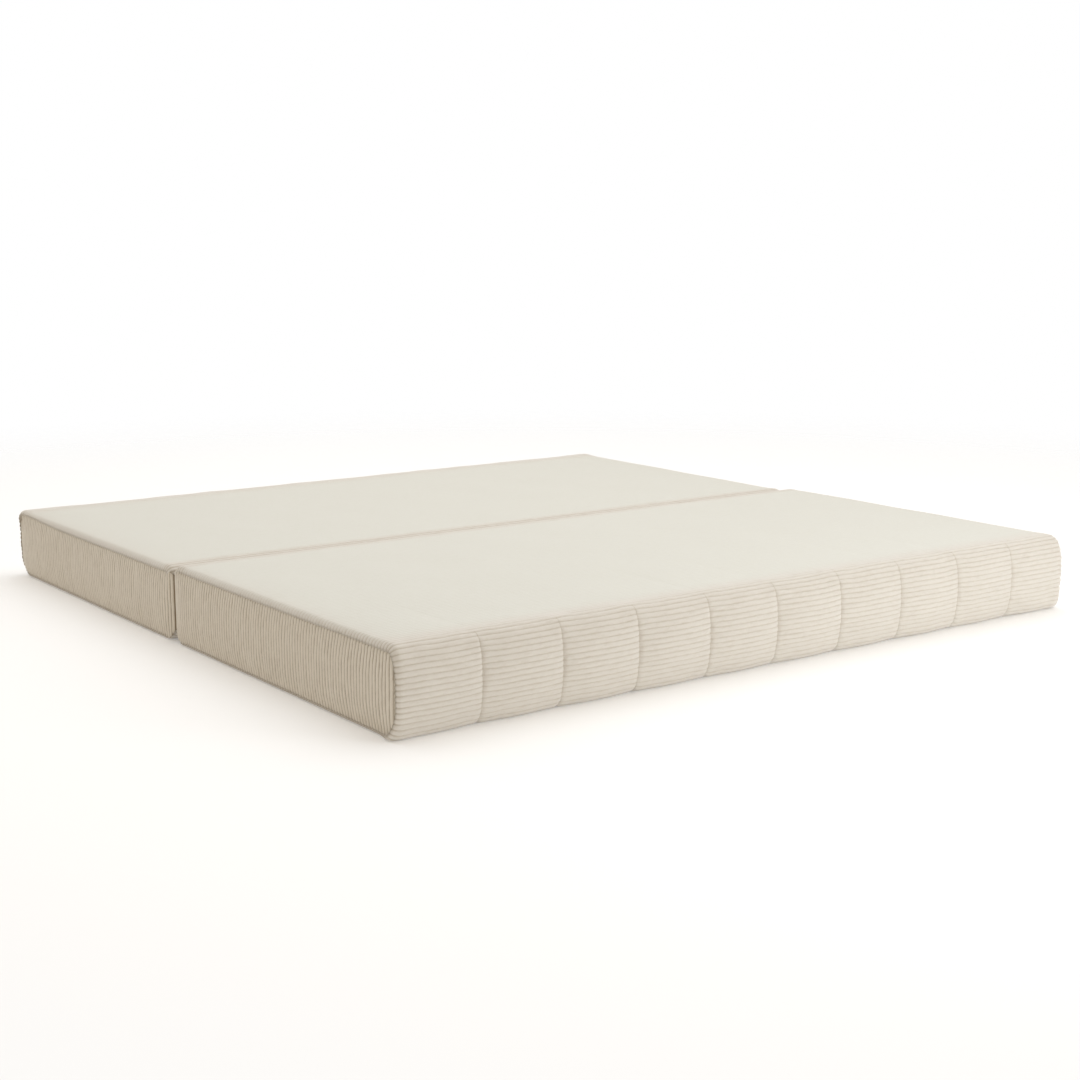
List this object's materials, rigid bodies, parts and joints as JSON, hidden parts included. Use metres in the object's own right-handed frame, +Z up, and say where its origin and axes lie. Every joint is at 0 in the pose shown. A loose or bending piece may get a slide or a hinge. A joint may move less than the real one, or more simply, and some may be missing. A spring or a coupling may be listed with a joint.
{
  "type": "futon mattress",
  "caption": "Floor futon mattress in cream wide-wale corduroy: two thick padded panels that fold along a fabric hinge, with a channel-stitched front edge.",
  "frame": {"origin": "middle of the floor area, on the underside, on the line of the fold", "axes": "+X along the fold, -Y towards the stitched front edge, +Z up"},
  "size_m": [2, 2.028, 0.192],
  "materials": {
    "corduroy": "wide-wale corduroy, cream",
    "thread": "twisted sewing thread",
    "tape": "woven tape",
    "liner": "non-woven cloth",
    "wadding": "polyester wadding",
    "support_foam": "open-cell foam, firm",
    "comfort_foam": "open-cell foam, soft",
    "zip_metal": "dull nickel"
  },
  "bodies": {
    "front_panel": {"front_cover_wrap": "corduroy", "front_tack_thread_1": "thread", "front_tack_thread_2": "thread", "front_tack_thread_3": "thread", "front_tack_thread_4": "thread", "front_tack_thread_5": "thread", "front_tack_thread_6": "thread", "front_tack_thread_7": "thread", "front_tack_thread_8": "thread", "front_tack_thread_9": "thread", "front_left_gusset": "corduroy", "front_left_seam_binding": "tape", "front_right_gusset": "corduroy", "front_right_seam_binding": "tape", "front_inner_liner": "liner", "front_base_wadding": "wadding", "front_support_foam": "support_foam", "front_comfort_foam": "comfort_foam", "front_top_wadding": "wadding", "front_hinge_leaf": "corduroy", "front_hinge_seam": "thread", "front_zip_upper_tape": "tape", "front_zip_lower_tape": "tape", "front_zip_left_stop": "zip_metal", "front_zip_right_stop": "zip_metal"},
    "rear_panel": {"rear_cover_wrap": "corduroy", "rear_left_gusset": "corduroy", "rear_left_seam_binding": "tape", "rear_right_gusset": "corduroy", "rear_right_seam_binding": "tape", "rear_inner_liner": "liner", "rear_base_wadding": "wadding", "rear_support_foam": "support_foam", "rear_comfort_foam": "comfort_foam", "rear_top_wadding": "wadding", "rear_hinge_leaf": "corduroy", "rear_hinge_seam": "thread", "rear_zip_upper_tape": "tape", "rear_zip_lower_tape": "tape", "rear_zip_left_stop": "zip_metal", "rear_zip_right_stop": "zip_metal"},
    "front_zip_slider": {"front_zip_slider": "zip_metal"},
    "front_zip_pull": {"front_zip_pull": "zip_metal"},
    "rear_zip_slider": {"rear_zip_slider": "zip_metal"},
    "rear_zip_pull": {"rear_zip_pull": "zip_metal"}
  },
  "joints": [
    {"name": "fold", "type": "hinge", "parent": "front_panel", "child": "rear_panel", "pos_m": [0, 0, 0.189], "axis": [1, 0, 0], "range_deg": [0, 180]},
    {"name": "front_zip_slide", "type": "slide", "parent": "front_panel", "child": "front_zip_slider", "axis": [1, 0, 0], "range_m": [-1.678, 0]},
    {"name": "front_zip_swivel", "type": "hinge", "parent": "front_zip_slider", "child": "front_zip_pull", "pos_m": [0.839, -0.006, 0.096], "axis": [0, 1, 0], "range_deg": [-85, 85]},
    {"name": "rear_zip_slide", "type": "slide", "parent": "rear_panel", "child": "rear_zip_slider", "axis": [1, 0, 0], "range_m": [-1.678, 0]},
    {"name": "rear_zip_swivel", "type": "hinge", "parent": "rear_zip_slider", "child": "rear_zip_pull", "pos_m": [0.839, 1.01, 0.096], "axis": [0, 1, 0], "range_deg": [-85, 85]}
  ]
}
